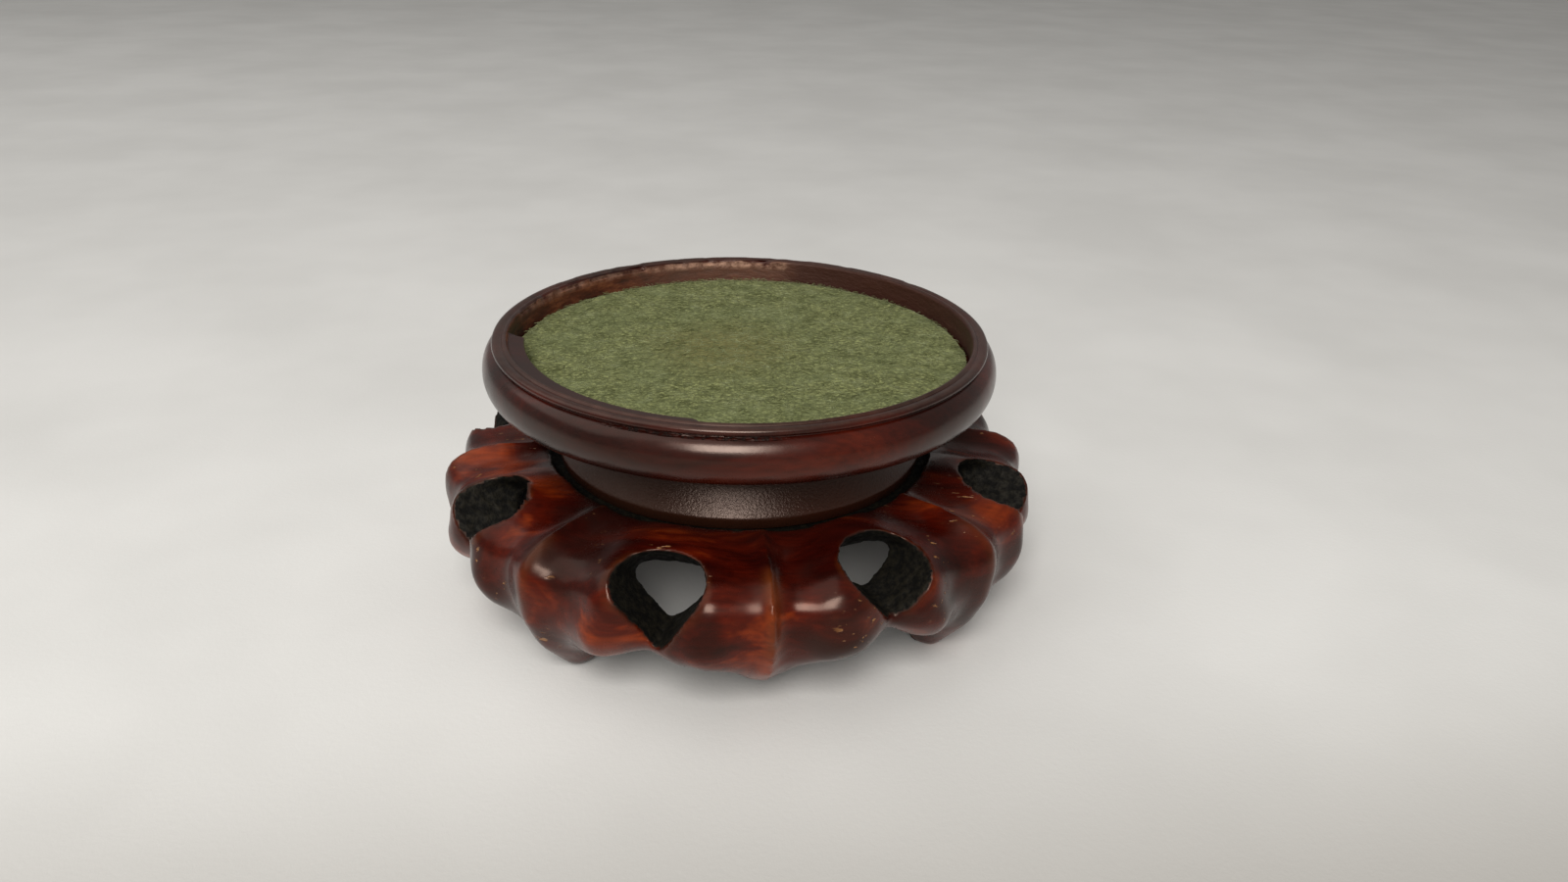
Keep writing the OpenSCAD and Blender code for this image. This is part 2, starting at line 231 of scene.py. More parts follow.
# The cheeks swell softly on both sides of each rib, over the edge of the apron.
CHEEK_OFF, CHEEK_HALF, CHEEK_SWELL = 12.5, 9.8, 0.9
places, normals = points_of(base.data) / MM, points_of(base.data, "normal")
radius, angle = round_axis(places)
radial, faces_out = outward(places, normals, radius)
off_rib = from_rib(radius, angle)
swell = np.clip(1 - ((off_rib - CHEEK_OFF) / CHEEK_HALF) ** 2, 0, 1) ** 2 * CHEEK_SWELL
swell *= step_between(places[:, 2], 5, 12) * (1 - step_between(places[:, 2], 14.5, 21.5))
swell *= step_between(faces_out, 0.05, 0.5) * (1 - inside) * (radius > 42)
places[:, :2] += radial * swell[:, None]
put_points(base.data, places * MM)
# One wall of the left front opening is left thicker than the others.
THICK_WALL_AT, THICK_WALL_HALF, THICK_WALL_LOW = 43, 7, 15
THICK_WALL_FROM, THICK_WALL_TO = -66, -47
_, angle = round_axis(places)
thick_wall = np.clip(1 - ((radius - THICK_WALL_AT) / THICK_WALL_HALF) ** 2, 0, 1) * (inside > 0.5)
thick_wall *= (angle > THICK_WALL_FROM) & (angle < THICK_WALL_TO) & (places[:, 2] > THICK_WALL_LOW)
weigh(base, "thick_wall", thick_wall)
work(base, "DISPLACE", strength=0.9 * MM, mid_level=0.0, vertex_group="thick_wall")
# The walls of the openings are only roughly cut.
weigh(base, "roughly_cut", inside, 0.05)
work(base, "DISPLACE", texture=clouds("rough_cuts", 1.6 * MM, 3), texture_coords="LOCAL",
     strength=0.55 * MM, mid_level=0.6, vertex_group="roughly_cut")
# The feet reach down to the floor again.
FOOT_TRIM = 4 * MM
places = points_of(base.data)
places[:, 2] -= places[:, 2].min() * (1 - step_between(places[:, 2], 0, FOOT_TRIM))
put_points(base.data, np.clip(places, np.array(cad_low), np.array(cad_high)))


def new_finish(name):
    """A new material, its node tree, its shader and its Object coordinates."""
    finish = bpy.data.materials.new(name)
    finish.use_nodes = True
    tree = finish.node_tree
    place = tree.nodes.new("ShaderNodeTexCoord").outputs["Object"]
    return finish, tree, tree.nodes["Principled BSDF"], place


def add(tree, kind, out, wires=None, **settings):
    """Adds a node, sets it and wires it up, and gives one of its outputs."""
    node = tree.nodes.new("ShaderNode" + kind)
    for setting, value in settings.items():
        setattr(node, setting, value)
    for socket, value in (wires or {}).items():
        if isinstance(value, bpy.types.NodeSocket):
            tree.links.new(value, node.inputs[socket])
        else:
            node.inputs[socket].default_value = value
    return node.outputs[out]


def stretched(tree, place, along, turn=GRAIN_TURN):
    """Coordinates in which a pattern is drawn out along the grain."""
    return add(tree, "Mapping", "Vector", {"Vector": place, "Rotation": (0, 0, turn),
               "Scale": along}, vector_type="TEXTURE")


def noise(tree, place, scale, detail=3.0, roughness=0.55, distortion=0.0):
    """A cloudy pattern with that many lumps to the metre."""
    return add(tree, "TexNoise", "Fac", {"Vector": place, "Scale": scale, "Detail": detail,
               "Roughness": roughness, "Distortion": distortion})


def band(tree, value, low, high, to_low=0.0, to_high=1.0):
    """A value brought from one range to another, with a soft step."""
    return add(tree, "MapRange", "Result", {"Value": value, "From Min": low, "From Max": high,
               "To Min": to_low, "To Max": to_high}, interpolation_type="SMOOTHSTEP")


def maths(tree, operation, first, second):
    """Two values worked into one."""
    return add(tree, "Math", 0, {0: first, 1: second}, operation=operation)


def tints(tree, value, stops):
    """A colour for each stop of a value, blended between them."""
    node = tree.nodes.new("ShaderNodeValToRGB")
    tree.links.new(value, node.inputs["Fac"])
    strip = node.color_ramp.elements
    while len(strip) < len(stops):
        strip.new(1.0)
    for part, (at, colour) in zip(strip, stops):
        part.position = at
        part.color = (*colour, 1)
    return node.outputs["Color"]


def over(tree, amount, under, top, blend="MIX"):
    """One colour laid over another, as far as the amount says."""
    node = tree.nodes.new("ShaderNodeMix")
    node.data_type = "RGBA"
    node.blend_type = blend
    for socket, value in ((0, amount), (6, under), (7, top)):
        if isinstance(value, bpy.types.NodeSocket):
            tree.links.new(value, node.inputs[socket])
        elif socket == 0:
            node.inputs[socket].default_value = value
        else:
            node.inputs[socket].default_value = (*value, 1)
    return node.outputs[2]


def bumps(tree, shader, height, depth, after=None):
    """Bump of a real depth, on top of another bump if there is one."""
    wires = {"Height": height, "Distance": depth, "Strength": 1.0}
    if after is not None:
        wires["Normal"] = after
    normal = add(tree, "Bump", "Normal", wires)
    tree.links.new(normal, shader.inputs["Normal"])
    return normal


def from_axis_of(tree, place):
    """The coordinates one by one, and the distance from the axis."""
    axes = tree.nodes.new("ShaderNodeSeparateXYZ")
    tree.links.new(place, axes.inputs[0])
    flat_place = add(tree, "CombineXYZ", "Vector", {"X": axes.outputs["X"], "Y": axes.outputs["Y"]})
    return axes.outputs, add(tree, "VectorMath", "Value", {0: flat_place}, operation="LENGTH")


lacquer, tree, shader, place = new_finish("lacquered_carving")
relief_at = add(tree, "Attribute", "Fac", attribute_name="relief")
inside_at = add(tree, "Attribute", "Fac", attribute_name="inside")
ribs_at = add(tree, "Attribute", "Fac", attribute_name="worn_ribs")
figure = noise(tree, stretched(tree, place, (2.4, 1, 1)), 85, 4, 0.6, 0.7)
wood = tints(tree, figure, ((0.30, (0.009, 0.0008, 0.0005)), (0.44, (0.026, 0.0016, 0.0006)),
                            (0.56, (0.062, 0.0042, 0.0009)), (0.69, (0.200, 0.0260, 0.0030))))
fibre = noise(tree, stretched(tree, place, (16, 1, 1)), 1500, 5, 0.6)
wood = over(tree, 0.45, wood, tints(tree, fibre, ((0.30, (0.42, 0.38, 0.36)), (0.62, (1.3, 1.3, 1.3)))),
            "MULTIPLY")
smoky = noise(tree, place, 48, 3, 0.6)
wood = over(tree, band(tree, smoky, 0.52, 0.72, 0, 0.65), wood, (0.020, 0.0065, 0.0050))
# Short open pores, filled pale, run along the grain in loose groups.
pore = noise(tree, stretched(tree, place, (3.5, 1, 1)), 1050, 2, 0.5)
flock = noise(tree, place, 95, 2, 0.5)
pores = maths(tree, "MULTIPLY", band(tree, pore, 0.65, 0.71), band(tree, flock, 0.54, 0.64))
wood = over(tree, maths(tree, "MULTIPLY", pores, 0.7), wood, (0.34, 0.16, 0.055))
# Corners are rubbed to a warm light brown. The grooves are painted greyer: partly dust where the polish
# has gone dull, partly a painted reflection.
rubbed = maths(tree, "MAXIMUM", band(tree, relief_at, 0.24, 0.60, 0.0, 0.45), ribs_at)
rubbed = maths(tree, "MULTIPLY", rubbed, band(tree, smoky, 0.30, 0.60, 0.45, 1.0))
wood = over(tree, maths(tree, "MULTIPLY", rubbed, 0.75), wood, (0.150, 0.036, 0.008))
groove_dust_and_sheen = band(tree, relief_at, -0.10, -0.40)
wood = over(tree, maths(tree, "MULTIPLY", groove_dust_and_sheen, 0.50), wood, (0.034, 0.019, 0.016))
# Round the socket, under the dish's rim, the lacquer is painted darker: a painted shade.
_, from_axis = from_axis_of(tree, place)
wood = over(tree, band(tree, from_axis, 0.0455, 0.0365, 0, 0.6), wood, (0.010, 0.0026, 0.0018))
wood = over(tree, inside_at, wood, (0.0045, 0.0038, 0.0026))
tree.links.new(wood, shader.inputs["Base Color"])
worn = noise(tree, place, 160, 4, 0.6)
gloss = band(tree, worn, 0.35, 0.7, 0.22, 0.33)
gloss = maths(tree, "ADD", gloss, maths(tree, "MULTIPLY", groove_dust_and_sheen, 0.16))
gloss = maths(tree, "MAXIMUM", gloss, maths(tree, "MULTIPLY", inside_at, 0.7))
tree.links.new(gloss, shader.inputs["Roughness"])
shader.inputs["Specular IOR Level"].default_value = 0.34
shader.inputs["Specular Tint"].default_value = (1.0, 0.72, 0.60, 1)
first_bump = bumps(tree, shader, fibre, 0.007 * MM)
bumps(tree, shader, maths(tree, "MULTIPLY", pores, -1.0), 0.10 * MM, first_bump)
base.data.materials.append(lacquer)

blackened, tree, shader, place = new_finish("blackened_walls")
soot = noise(tree, place, 900, 4, 0.65)
black = tints(tree, soot, ((0.42, (0.0022, 0.0019, 0.0014)), (0.72, (0.016, 0.0135, 0.0085))))
tree.links.new(black, shader.inputs["Base Color"])
tree.links.new(band(tree, soot, 0.35, 0.7, 0.75, 0.55), shader.inputs["Roughness"])
shader.inputs["Specular IOR Level"].default_value = 0.12
bumps(tree, shader, soot, 0.35 * MM)
base.data.materials.append(blackened)
for face in base.data.polygons:
    face.material_index = int(min(inside[corner] for corner in face.vertices) > 0.5)
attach(base, "root")
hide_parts("carved_base")

# Turned dish: one piece of darker hardwood, turned on a lathe with its lip, quirk, rolled
# rim, cove and flared neck. A spigot below goes through the base. The ledge inside the lip
# at the front left was left by the maker, and the lip's inner bead is broken at the back.
STEPS = 320
LIP_TOP = 51.5
FLOOR_Z = 45.9
WALL = 43.6
LEDGE_TOP = 50.75
LEDGE_R = 40.6
LEDGE_SLOPE = 0.4
LEDGE_FROM, LEDGE_TO = -92, -12
NOTCH = 167.6
ROLL_R, ROLL_W = 45.3, 3.1
ROLL_Z, ROLL_H = 45.7, 4.3
COVE_R, COVE_MID_R, COVE_MID_Z = 4.4, 36.4, 37.0
NECK_R, NECK_FOOT_R, NECK_TOP, FLARE_TOP, NECK_FOOT = 32.0, 35.3, 37.0, 35.2, 29.4


def spun(name, section):
    """Draws half of a section point by point, in millimetres, and spins it round the axis."""
    bpy.ops.object.select_all(action="DESELECT")
    bpy.ops.mesh.primitive_plane_add(size=MM)
    piece = bpy.context.object
    piece.name = piece.data.name = name
    bpy.ops.object.mode_set(mode="EDIT")
    bpy.ops.mesh.select_mode(type="VERT")
    bpy.ops.mesh.select_all(action="SELECT")
    bpy.ops.mesh.merge(type="CENTER")
    last = (0.0, 0.0)
    for number, (r, z) in enumerate(section):
        move = ((r - last[0]) * MM, 0, (z - last[1]) * MM)
        if number:
            bpy.ops.mesh.extrude_vertices_move(TRANSFORM_OT_translate={"value": move})
        else:
            bpy.ops.transform.translate(value=move)
        last = (r, z)
    bpy.ops.mesh.select_all(action="SELECT")
    bpy.ops.mesh.spin(steps=STEPS, angle=2 * math.pi, center=(0, 0, 0), axis=(0, 0, 1))
    bpy.ops.mesh.select_all(action="SELECT")
    bpy.ops.mesh.remove_doubles(threshold=0.01 * MM)
    bpy.ops.mesh.normals_make_consistent(inside=False)
    bpy.ops.object.mode_set(mode="OBJECT")
    return piece


def arc(mid_r, mid_z, wide, high, first, last, step):
    """Points of an ellipse's arc, from one angle to another."""
    return [(mid_r + wide * math.cos(math.radians(b)), mid_z + high * math.sin(math.radians(b)))
            for b in np.arange(first, last, step)]


recess = [(0, FLOOR_Z), (15, FLOOR_Z), (30, FLOOR_Z), (WALL - 0.3, FLOOR_Z), (WALL, FLOOR_Z + 0.3),
          (WALL, 47.2), (WALL, 48.2), (WALL, 49.2), (WALL, 50.1), (WALL, LEDGE_TOP), (WALL, 50.95)]
lip = [(43.7, 51.22), (43.88, 51.42), (44.1, LIP_TOP), (44.32, 51.44), (44.5, 51.27), (44.62, 51.14),
       (44.8, 51.16), (45.1, 51.3), (45.6, 51.36), (46.0, 51.3), (46.32, 51.08), (46.46, 50.75),
       (46.4, 50.4), (46.15, 50.15), (45.92, 50.0), (45.98, 49.88)]
rim = arc(ROLL_R, ROLL_Z, ROLL_W, ROLL_H, 76, -90, -3)
cove = arc(COVE_MID_R, COVE_MID_Z, COVE_R, COVE_R, 90, 180, 7.5)
flare = [(NECK_R, NECK_TOP), (NECK_R, FLARE_TOP + 0.6)]
flare += [(NECK_R + (NECK_FOOT_R - NECK_R) * f ** 1.3, FLARE_TOP + (NECK_FOOT - FLARE_TOP) * f)
          for f in np.linspace(0.0, 0.98, 22)]
foot = [(35.28, 29.25), (35.2, 28.8), (35.0, 27.4), (34.8, 27.22), (34.5, 27.2), (30, 27.2),
        (23.6, 27.2), (23.35, 27.0), (23.35, 24.1), (23.1, 23.9), (12, 23.9), (0, 23.9)]
dish = spun("dish_turning", recess + lip + rim + cove + flare + foot)

# The ledge is drawn in from the wall at the front left.
bpy.ops.object.mode_set(mode="EDIT")
bpy.ops.mesh.select_mode(type="FACE")
bpy.ops.mesh.select_all(action="DESELECT")
bpy.ops.object.mode_set(mode="OBJECT")
for face in dish.data.polygons:
    x, y, z = face.center / MM
    on_wall = abs(math.hypot(x, y) - WALL) < 0.25 and FLOOR_Z < z < LEDGE_TOP
    face.select = on_wall and LEDGE_FROM < math.degrees(math.atan2(x, -y)) < LEDGE_TO
bpy.ops.object.mode_set(mode="EDIT")
bpy.ops.mesh.extrude_region()
bpy.ops.transform.resize(value=(LEDGE_R / WALL, LEDGE_R / WALL, 1), center_override=(0, 0, 0))
bpy.ops.mesh.select_all(action="SELECT")
bpy.ops.mesh.normals_make_consistent(inside=False)
bpy.ops.object.mode_set(mode="OBJECT")


def ledge_edge(angle):
    """The ledge's inner radius at an angle: it runs out into the wall at both ends."""
    full = step_between(angle, LEDGE_FROM - 0.5, LEDGE_FROM + 2)
    full = full * (1 - step_between(angle, LEDGE_TO - 5, LEDGE_TO + 0.5))
    return WALL - 0.1 - (WALL - 0.1 - LEDGE_R) * full


places = points_of(dish.data) / MM
radius, angle = round_axis(places)
on_ledge = (np.abs(radius - LEDGE_R) < 0.05) & (places[:, 2] > FLOOR_Z + 0.1)
places[:, :2] *= np.where(on_ledge, ledge_edge(angle) / np.maximum(radius, 1), 1)[:, None]
places[:, 2] -= on_ledge * (places[:, 2] > LEDGE_TOP - 0.1) * LEDGE_SLOPE
put_points(dish.data, places * MM)

# The bead runs from the ledge round the right to the notch. Past it the lip's inner edge
# is chipped, and the quirk under the lip is nibbled at the front left.
BEAD_R, BEAD_LOW = 44.55, 50.7
NOTCH_TURNED = NOTCH - LEDGE_TO
CHIPS_FADE, CHIPS_END = 250, 278
LIP_EDGE_R, LIP_EDGE_LOW = 45.4, 50.2
QUIRK_R, QUIRK_Z, QUIRK_HALF = 45.5, 49.95, 0.3
chance = np.random.default_rng(11)
places = points_of(dish.data) / MM
radius, angle = round_axis(places)
turned = np.mod(angle - LEDGE_TO, 360)
bead_gone = step_between(turned, NOTCH_TURNED - 0.4, NOTCH_TURNED + 0.4)
bead_gone *= 1 - step_between(turned, 359.0, 359.9)
chips_left = 1 - step_between(turned, CHIPS_FADE, CHIPS_END)
edge = (radius < BEAD_R) & (places[:, 2] > BEAD_LOW)
lumps = np.zeros(len(angle))
for waves, height in ((7, 0.10), (17, 0.12), (31, 0.10), (53, 0.09), (90, 0.06)):
    lumps += height * np.sin(np.radians(angle * waves + chance.uniform(0, 360)))
raw = bead_gone * step_between(turned, NOTCH_TURNED, NOTCH_TURNED + 1) * edge
raw *= chips_left
push = raw * np.clip(0.35 + lumps, 0.05, 0.75)
drop = raw * np.clip(0.30 + 0.8 * lumps, 0.0, 0.8)
notch = np.exp(-((angle - NOTCH) / 1.3) ** 2) * edge
push, drop = push + 0.5 * notch, drop + 0.55 * notch
places[:, :2] *= (1 + push / np.maximum(radius, 1))[:, None]
places[:, 2] -= drop
outer_edge = (radius > LIP_EDGE_R) & (places[:, 2] > LIP_EDGE_LOW)
places[:, 2] -= outer_edge * np.clip(lumps, 0, 0.3) * 0.5 * (np.abs(angle) > 120)
quirk = (np.abs(places[:, 2] - QUIRK_Z) < QUIRK_HALF) & (radius > QUIRK_R)
nibbled = quirk * step_between(angle, -36, -27) * (1 - step_between(angle, -1, 5))
bite = nibbled * (chance.random(len(angle)) > 0.55) * chance.uniform(0.04, 0.16, len(angle))
places[:, 2] -= bite
put_points(dish.data, places * MM)
# Raw wood shows along the chipped edge, less of it at the left, and none in the notch.
RAW_LOW = 49.7
inner_edge = (radius < WALL + 0.05) & (places[:, 2] > RAW_LOW)
inner_edge = inner_edge * (0.4 + 0.6 * step_between(places[:, 0], -18, -4))
raw_edge = step_between(turned, NOTCH_TURNED - 7, NOTCH_TURNED - 5.5) * inner_edge
raw_edge *= chips_left
raw_edge *= 1 - np.exp(-((angle - NOTCH) / 1.1) ** 2)
keep_values(dish.data, "chipped", raw_edge)
keep_values(dish.data, "nibbled", nibbled)
pick_up(dish)
bpy.ops.object.shade_smooth_by_angle(angle=math.radians(42))

polished, tree, shader, place = new_finish("turned_dark_hardwood")
chipped_at = add(tree, "Attribute", "Fac", attribute_name="chipped")
nibbled_at = add(tree, "Attribute", "Fac", attribute_name="nibbled")
axes, from_axis = from_axis_of(tree, place)
height = axes["Z"]
# Tool lines go round the axis, so they follow the distance from it and the height alone.
lathe_place = add(tree, "CombineXYZ", "Vector", {"X": from_axis, "Z": height})
tool_lines = noise(tree, lathe_place, 2600, 3, 0.6)
figure = noise(tree, stretched(tree, place, (3.5, 1, 1)), 70, 4, 0.6, 0.5)
wood = tints(tree, figure, ((0.30, (0.007, 0.0014, 0.0009)), (0.45, (0.019, 0.0022, 0.0011)),
                            (0.58, (0.040, 0.0036, 0.0014)), (0.72, (0.072, 0.0080, 0.0024))))
fibre = noise(tree, stretched(tree, place, (14, 1, 1)), 1300, 5, 0.6)
wood = over(tree, 0.6, wood, tints(tree, fibre, ((0.32, (0.45, 0.43, 0.42)), (0.64, (1.25, 1.22, 1.2)))),
            "MULTIPLY")
# The neck is duller and browner below the rim. The neck and the rim's underside are painted darker
# towards the rim, a painted shade under the overhang. The top of the lip is dusty.
neck_low = band(tree, height, 0.0440, 0.0418)
neck_brown_and_rim_shade = tints(tree, band(tree, height, 0.0395, 0.0330),
                  ((0.0, (0.009, 0.0026, 0.0016)), (1.0, (0.030, 0.0105, 0.0052))))
wood = over(tree, maths(tree, "MULTIPLY", neck_low, 0.75), wood, neck_brown_and_rim_shade)
lip_top = band(tree, height, 0.05095, 0.05125)
ledge_top = maths(tree, "MULTIPLY", band(tree, from_axis, 0.0437, 0.0435),
                  band(tree, height, 0.0496, 0.0502))
wood = over(tree, maths(tree, "MULTIPLY", ledge_top, 0.55), wood, (0.012, 0.0026, 0.0016))
lip_dust = tints(tree, noise(tree, place, 420, 4, 0.65),
                 ((0.35, (0.024, 0.012, 0.009)), (0.65, (0.060, 0.034, 0.025))))
wood = over(tree, maths(tree, "MULTIPLY", lip_top, 0.5), wood, lip_dust)
# The recess's wall is patchy: worn and dusty at the back, and dark at the right.
in_recess = maths(tree, "MULTIPLY", band(tree, from_axis, 0.04330, 0.04350),
                  band(tree, from_axis, 0.04385, 0.04375))
in_recess = maths(tree, "MULTIPLY", in_recess, band(tree, height, 0.0460, 0.0464))
wall_patch = noise(tree, stretched(tree, place, (1.6, 1.6, 0.6)), 190, 6, 0.72)
wall_wood = tints(tree, wall_patch, ((0.36, (0.026, 0.0080, 0.0046)), (0.52, (0.078, 0.0190, 0.0078)),
                                     (0.70, (0.200, 0.0680, 0.0260))))
dusty = band(tree, axes["X"], -0.026, -0.010, 0, 0.5)
wall_wood = over(tree, dusty, wall_wood, (0.125, 0.062, 0.042))
right_side = band(tree, axes["X"], 0.010, 0.018, 0, 0.92)
wall_wood = over(tree, right_side, wall_wood, (0.030, 0.0070, 0.0040))
wood = over(tree, in_recess, wood, wall_wood)
raw_wood = tints(tree, noise(tree, place, 480, 5, 0.7),
                 ((0.40, (0.075, 0.028, 0.015)), (0.60, (0.38, 0.22, 0.15))))
wood = over(tree, maths(tree, "MULTIPLY", chipped_at, 0.9), wood, raw_wood)
pit = noise(tree, place, 1900, 2, 0.5)
pits = maths(tree, "MULTIPLY", band(tree, pit, 0.52, 0.60), nibbled_at)
wood = over(tree, pits, wood, (0.012, 0.0075, 0.0065))
tree.links.new(wood, shader.inputs["Base Color"])
worn = noise(tree, place, 180, 4, 0.6)
gloss = band(tree, worn, 0.35, 0.7, 0.21, 0.29)
for mask, rough in ((lip_top, 0.34), (ledge_top, 0.38), (in_recess, 0.55),
                    (chipped_at, 0.6), (neck_low, 0.28)):
    gloss = maths(tree, "MAXIMUM", gloss, maths(tree, "MULTIPLY", mask, rough))
tree.links.new(gloss, shader.inputs["Roughness"])
shader.inputs["Specular IOR Level"].default_value = 0.52
shader.inputs["Specular Tint"].default_value = (1.0, 0.78, 0.68, 1)
first_bump = bumps(tree, shader, tool_lines, 0.005 * MM)
speckle = noise(tree, place, 2300, 3, 0.6)
speckle_depth = maths(tree, "ADD", maths(tree, "MULTIPLY", neck_low, 0.40), 0.03)
speckled = maths(tree, "MULTIPLY", speckle, speckle_depth)
first_bump = bumps(tree, shader, speckled, 0.22 * MM, first_bump)
rough_wall = maths(tree, "MULTIPLY", wall_patch, maths(tree, "MAXIMUM", in_recess, chipped_at))
first_bump = bumps(tree, shader, rough_wall, 0.5 * MM, first_bump)
bumps(tree, shader, maths(tree, "MULTIPLY", pits, -1.0), 0.3 * MM, first_bump)
dish.data.materials.append(polished)
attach(dish, "root")
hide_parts("turned_dish")

# Bamboo pegs: four split and shaved pegs, driven up through the socket's floor into the
# dish. They keep their round shape from model.glb, and get bamboo's fibres and end grain.
bamboo, tree, shader, place = new_finish("shaved_bamboo")
strands = noise(tree, stretched(tree, place, (1, 1, 12), 0), 3200, 4, 0.6)
straw = tints(tree, strands, ((0.34, (0.21, 0.125, 0.052)), (0.50, (0.40, 0.27, 0.125)),
                              (0.66, (0.52, 0.38, 0.20))))
dots = add(tree, "TexVoronoi", "Distance", {"Vector": place, "Scale": 2400})
straw = over(tree, band(tree, dots, 0.22, 0.12, 0, 0.6), straw, (0.13, 0.07, 0.028))
tree.links.new(straw, shader.inputs["Base Color"])
tree.links.new(band(tree, strands, 0.3, 0.7, 0.42, 0.62), shader.inputs["Roughness"])
bumps(tree, shader, strands, 0.06 * MM)
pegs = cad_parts["bamboo_pegs"]
pegs.data.materials[0] = bamboo

# Felt lining: one disc of wool felt, cut round the ledge and glued to the recess's floor.
# Its matted top is a little uneven, and lighter fibres lie loose on it in all directions.
FELT_R = 43.3
FELT_TOP = 47.1
FELT_LOW = 45.93
LEDGE_GAP = 0.3
felt_section = [(0, FELT_LOW), (20, FELT_LOW), (FELT_R - 0.2, FELT_LOW), (FELT_R, FELT_LOW + 0.2),
                (FELT_R, FELT_TOP - 0.35), (FELT_R - 0.25, FELT_TOP - 0.05)]
felt_section += [(r, FELT_TOP) for r in np.arange(FELT_R - 1, 0.5, -0.9)] + [(0, FELT_TOP)]
felt = spun("felt_lining_disc", felt_section)
places = points_of(felt.data) / MM
radius, angle = round_axis(places)
ragged = np.zeros(len(angle))
for waves, depth in ((9, 0.16), (23, 0.14), (41, 0.12), (67, 0.10), (97, 0.08)):
    ragged += depth * (1 + np.sin(np.radians(angle * waves + 37 * waves)))
cut_r = np.minimum(FELT_R - ragged * 0.6, ledge_edge(angle) - LEDGE_GAP)
shrink = 1 - step_between(radius, 30, FELT_R) * (1 - cut_r / FELT_R)
places[:, :2] *= shrink[:, None]
put_points(felt.data, places * MM)
weigh(felt, "matted_top", 1.0 * (places[:, 2] > FELT_TOP - 0.4))
for size, strength in ((11 * MM, 0.22 * MM), (2.6 * MM, 0.06 * MM)):
    work(felt, "DISPLACE", texture=clouds("matting", size), texture_coords="LOCAL",
         direction="Z", strength=strength, mid_level=0.6, vertex_group="matted_top")
pick_up(felt)
bpy.ops.object.shade_smooth()

wool, tree, shader, place = new_finish("green_wool_felt")
soft = noise(tree, place, 85, 4, 0.6)
tuft = noise(tree, place, 1700, 4, 0.7)
streak = noise(tree, stretched(tree, place, (1.25, 1, 1), math.radians(4)), 1750, 4, 0.75)
cross = noise(tree, stretched(tree, place, (1, 2.2, 1), math.radians(28)), 1500, 4, 0.75)
green = tints(tree, streak, ((0.36, (0.038, 0.041, 0.010)), (0.50, (0.100, 0.107, 0.034)),
                             (0.64, (0.245, 0.260, 0.108))))
green = over(tree, 0.8, green, tints(tree, cross, ((0.34, (0.50, 0.50, 0.45)), (0.66, (1.5, 1.5, 1.45)))),
             "MULTIPLY")
green = over(tree, band(tree, tuft, 0.46, 0.30, 0, 0.6), green, (0.045, 0.047, 0.013))
green = over(tree, band(tree, soft, 0.40, 0.66, 0, 0.35), green, (0.096, 0.118, 0.046))
from_middle = add(tree, "VectorMath", "Value",
                  {0: place, 1: (-0.004, 0.001, 0.0471)}, operation="DISTANCE")
faded = maths(tree, "MULTIPLY", band(tree, from_middle, 0.020, 0.003),
              band(tree, tuft, 0.35, 0.6, 0.85, 0.45))
green = over(tree, faded, green, (0.104, 0.082, 0.015))
tree.links.new(green, shader.inputs["Base Color"])
shader.inputs["Roughness"].default_value = 0.95
shader.inputs["Specular IOR Level"].default_value = 0.2
shader.inputs["Sheen Weight"].default_value = 0.25
shader.inputs["Sheen Roughness"].default_value = 0.6
shader.inputs["Sheen Tint"].default_value = (0.55, 0.60, 0.35, 1)
first_bump = bumps(tree, shader, tuft, 0.10 * MM)
first_bump = bumps(tree, shader, streak, 0.07 * MM, first_bump)
bumps(tree, shader, cross, 0.06 * MM, first_bump)
felt.data.materials.append(wool)

# Loose fibres of the same wool, each a thin strand with pointed ends. They lie flat on the
# felt, and stand up along its edge.
FIBRES = 14000
STRAND_SIDES = 3
EDGE_BAND, EDGE_LIFT = 2.2, 6
chance = np.random.default_rng(5)
reach = FELT_R * np.sqrt(chance.random(FIBRES)) * 0.985
bearing = chance.uniform(0, 2 * math.pi, FIBRES)
angle = np.degrees((bearing + math.pi) % (2 * math.pi) - math.pi)
over_ledge = (angle > LEDGE_FROM - 3) & (angle < LEDGE_TO + 3)
reach = np.where(over_ledge, np.minimum(reach, LEDGE_R - 1.2), np.minimum(reach, FELT_R - 0.9))
lie = chance.normal(0, 0.9, FIBRES)
length = chance.uniform(0.7, 2.6, FIBRES)
thick = chance.uniform(0.025, 0.055, FIBRES)
sway = chance.normal(0, 0.35, FIBRES)
lift = chance.uniform(0.0, 0.10, FIBRES)
lift = np.where(reach > FELT_R - EDGE_BAND, lift * EDGE_LIFT, lift)
mid = np.stack([reach * np.sin(bearing), -reach * np.cos(bearing)], axis=1)
along = np.stack([np.cos(lie), np.sin(lie)], axis=1)
side = np.stack([-np.sin(lie), np.cos(lie)], axis=1)
felt_skin = BVHTree.FromPolygons([point.co for point in felt.data.vertices],
                                 [tuple(face.vertices) for face in felt.data.polygons])
strand_points, strand_faces = [], []
